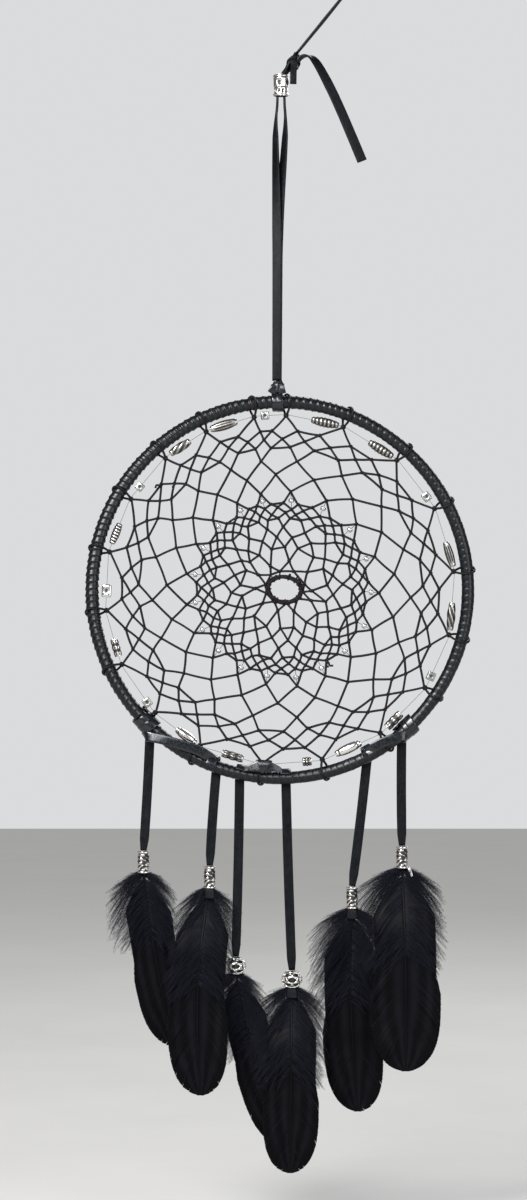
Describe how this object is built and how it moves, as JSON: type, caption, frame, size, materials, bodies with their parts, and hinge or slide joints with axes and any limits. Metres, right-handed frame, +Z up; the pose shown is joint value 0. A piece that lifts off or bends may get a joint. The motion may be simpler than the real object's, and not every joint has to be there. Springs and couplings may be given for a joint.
{
  "type": "dream catcher",
  "caption": "Wall dream catcher: lace-wrapped hoop with a knotted cord web, small antique metal beads, and lace pendants that end in beads and dark feathers.",
  "frame": {"origin": "centre of the nail loop at the top of the hanger", "axes": "+Z up along the hanging direction, -Y out of the wall towards the viewer, +X to the viewer's right"},
  "size_m": [0.1959, 0.0185, 0.6083],
  "materials": {
    "lace": "semi-gloss",
    "cord": "waxed",
    "silver": "antique silver with dark patina",
    "seed": "clear, silver lined",
    "feather": "soft sheen",
    "steel": "plain"
  },
  "bodies": {
    "hanger": {"nail_loop": "lace", "loop_knot": "lace", "hanging_strand": "lace", "top_knot": "lace", "hanger_tail": "lace", "leg_front": "lace", "leg_back": "lace"},
    "hanger_bead": {"hanger_bead": "silver"},
    "hitch": {"hoop_hitch": "lace"},
    "hoop": {"hoop_core": "steel", "hoop_wrap": "lace", "web_hitches": "cord", "web_cord": "cord", "centre_winding": "cord", "seed_beads": "seed", "bead_threads": "cord", "lace_left": "lace", "lace_middle": "lace", "lace_right": "lace"},
    "rim_bead_01": {"rim_bead_01": "silver"},
    "rim_bead_02": {"rim_bead_02": "silver"},
    "rim_bead_03": {"rim_bead_03": "silver"},
    "rim_bead_04": {"rim_bead_04": "silver"},
    "rim_bead_05": {"rim_bead_05": "silver"},
    "rim_bead_06": {"rim_bead_06": "silver"},
    "rim_bead_07": {"rim_bead_07": "silver"},
    "rim_bead_08": {"rim_bead_08": "silver"},
    "rim_bead_09": {"rim_bead_09": "silver"},
    "rim_bead_10": {"rim_bead_10": "silver"},
    "rim_bead_11": {"rim_bead_11": "silver"},
    "rim_bead_12": {"rim_bead_12": "silver"},
    "rim_bead_13": {"rim_bead_13": "silver"},
    "rim_bead_14": {"rim_bead_14": "silver"},
    "rim_bead_15": {"rim_bead_15": "silver"},
    "rim_bead_16": {"rim_bead_16": "silver"},
    "rim_bead_17": {"rim_bead_17": "silver"},
    "rim_bead_18": {"rim_bead_18": "silver"},
    "rim_bead_19": {"rim_bead_19": "silver"},
    "strap_1": {"strap_1": "lace"},
    "feather_1": {"pendant_bead_1": "silver", "feather_1": "feather"},
    "strap_2": {"strap_2": "lace"},
    "feather_2": {"pendant_bead_2": "silver", "feather_2": "feather", "strap_end_2": "lace"},
    "strap_3": {"strap_3": "lace"},
    "feather_3": {"pendant_bead_3": "silver", "feather_3": "feather"},
    "strap_4": {"strap_4": "lace"},
    "feather_4": {"pendant_bead_4": "silver", "feather_4": "feather", "strap_end_4": "lace"},
    "strap_5": {"strap_5": "lace"},
    "feather_5": {"pendant_bead_5": "silver", "feather_5": "feather", "strap_end_5": "lace"},
    "strap_6": {"strap_6": "lace"},
    "feather_6": {"pendant_bead_6": "silver", "feather_6": "feather"}
  },
  "joints": [
    {"name": "hanger_bead_slide", "type": "slide", "parent": "hanger", "child": "hanger_bead", "axis": [0, 0, 1], "range_m": [-0.0035, 0]},
    {"name": "hoop_twist", "type": "hinge", "parent": "hanger", "child": "hitch", "pos_m": [-0.0451, 0, -0.2077], "axis": [0, 0, 1], "range_deg": [-60, 60]},
    {"name": "hoop_swing", "type": "hinge", "parent": "hitch", "child": "hoop", "pos_m": [-0.04495, 0, -0.218], "axis": [1, 0, 0], "range_deg": [-45, 45]},
    {"name": "rim_bead_01_slide", "type": "slide", "parent": "hoop", "child": "rim_bead_01", "axis": [0.9984, 0, 0.0567], "range_m": [-0.00091, 0.00097]},
    {"name": "rim_bead_02_slide", "type": "slide", "parent": "hoop", "child": "rim_bead_02", "axis": [0.9576, 0, 0.2882], "range_m": [0, 0.0064]},
    {"name": "rim_bead_03_slide", "type": "slide", "parent": "hoop", "child": "rim_bead_03", "axis": [0.8387, 0, 0.5446], "range_m": [-0.00076, 0.00688]},
    {"name": "rim_bead_04_slide", "type": "slide", "parent": "hoop", "child": "rim_bead_04", "axis": [0.6455, 0, 0.7638], "range_m": [-0.00121, 0.01285]},
    {"name": "rim_bead_05_slide", "type": "slide", "parent": "hoop", "child": "rim_bead_05", "axis": [0.3746, 0, 0.9272], "range_m": [-0.00184, 0.01104]},
    {"name": "rim_bead_06_slide", "type": "slide", "parent": "hoop", "child": "rim_bead_06", "axis": [0.0515, 0, 0.9987], "range_m": [-0.00229, 0.01194]},
    {"name": "rim_bead_07_slide", "type": "slide", "parent": "hoop", "child": "rim_bead_07", "axis": [-0.2748, 0, 0.9615], "range_m": [0, 0.01043]},
    {"name": "rim_bead_08_slide", "type": "slide", "parent": "hoop", "child": "rim_bead_08", "axis": [-0.5714, 0, 0.8207], "range_m": [-0.00024, 0.0163]},
    {"name": "rim_bead_09_slide", "type": "slide", "parent": "hoop", "child": "rim_bead_09", "axis": [-0.8054, 0, 0.5927], "range_m": [0, 0.00943]},
    {"name": "rim_bead_10_slide", "type": "slide", "parent": "hoop", "child": "rim_bead_10", "axis": [-0.9591, 0, 0.2832], "range_m": [-0.00565, 0]},
    {"name": "rim_bead_11_slide", "type": "slide", "parent": "hoop", "child": "rim_bead_11", "axis": [0.9974, 0, 0.0724], "range_m": [-0.01559, 0.00105]},
    {"name": "rim_bead_12_slide", "type": "slide", "parent": "hoop", "child": "rim_bead_12", "axis": [0.91, 0, 0.4147], "range_m": [-0.00476, 0.0002]},
    {"name": "rim_bead_13_slide", "type": "slide", "parent": "hoop", "child": "rim_bead_13", "axis": [0.7009, 0, 0.7133], "range_m": [0, 0.0132]},
    {"name": "rim_bead_14_slide", "type": "slide", "parent": "hoop", "child": "rim_bead_14", "axis": [0.4139, 0, 0.9103], "range_m": [0, 0.01593]},
    {"name": "rim_bead_15_slide", "type": "slide", "parent": "hoop", "child": "rim_bead_15", "axis": [0.0767, 0, 0.9971], "range_m": [0, 0.0132]},
    {"name": "rim_bead_16_slide", "type": "slide", "parent": "hoop", "child": "rim_bead_16", "axis": [-0.2915, 0, 0.9566], "range_m": [0, 0.01525]},
    {"name": "rim_bead_17_slide", "type": "slide", "parent": "hoop", "child": "rim_bead_17", "axis": [-0.6143, 0, 0.7891], "range_m": [-0.00053, 0.01706]},
    {"name": "rim_bead_18_slide", "type": "slide", "parent": "hoop", "child": "rim_bead_18", "axis": [-0.8517, 0, 0.524], "range_m": [-0.00032, 0.01257]},
    {"name": "rim_bead_19_slide", "type": "slide", "parent": "hoop", "child": "rim_bead_19", "axis": [-0.9796, 0, 0.2011], "range_m": [0, 0.01048]},
    {"name": "strap_1_sway", "type": "hinge", "parent": "hoop", "child": "strap_1", "pos_m": [-0.1089, 0.0045, -0.3848], "axis": [0, -1, 0], "range_deg": [-8, 2]},
    {"name": "feather_1_swing", "type": "hinge", "parent": "strap_1", "child": "feather_1", "pos_m": [-0.1121, 0.0045, -0.44285], "axis": [1, 0, 0], "range_deg": [0, 35]},
    {"name": "strap_2_sway", "type": "hinge", "parent": "hoop", "child": "strap_2", "pos_m": [-0.0755, 0.0045, -0.4016], "axis": [0, -1, 0], "range_deg": [-8, 1.5]},
    {"name": "feather_2_swing", "type": "hinge", "parent": "strap_2", "child": "feather_2", "pos_m": [-0.0789, 0.0045, -0.45045], "axis": [1, 0, 0], "range_deg": [-35, 0]},
    {"name": "strap_3_sway", "type": "hinge", "parent": "hoop", "child": "strap_3", "pos_m": [-0.0639, 0.0045, -0.4054], "axis": [0, -1, 0], "range_deg": [-1.5, 3]},
    {"name": "feather_3_swing", "type": "hinge", "parent": "strap_3", "child": "feather_3", "pos_m": [-0.0659, 0.0045, -0.49605], "axis": [1, 0, 0], "range_deg": [0, 35]},
    {"name": "strap_4_sway", "type": "hinge", "parent": "hoop", "child": "strap_4", "pos_m": [-0.0407, 0.0045, -0.4076], "axis": [0, -1, 0], "range_deg": [-3, 3]},
    {"name": "feather_4_swing", "type": "hinge", "parent": "strap_4", "child": "feather_4", "pos_m": [-0.0377, 0.0045, -0.50285], "axis": [1, 0, 0], "range_deg": [-35, 0]},
    {"name": "strap_5_sway", "type": "hinge", "parent": "hoop", "child": "strap_5", "pos_m": [0, 0.0045, -0.3966], "axis": [0, -1, 0], "range_deg": [-3, 8]},
    {"name": "feather_5_swing", "type": "hinge", "parent": "strap_5", "child": "feather_5", "pos_m": [-0.0075, 0.0045, -0.46065], "axis": [1, 0, 0], "range_deg": [0, 35]},
    {"name": "strap_6_sway", "type": "hinge", "parent": "hoop", "child": "strap_6", "pos_m": [0.0173, 0.0045, -0.3876], "axis": [0, -1, 0], "range_deg": [-4, 8]},
    {"name": "feather_6_swing", "type": "hinge", "parent": "strap_6", "child": "feather_6", "pos_m": [0.0175, 0.0045, -0.44045], "axis": [1, 0, 0], "range_deg": [-35, 0]}
  ]
}
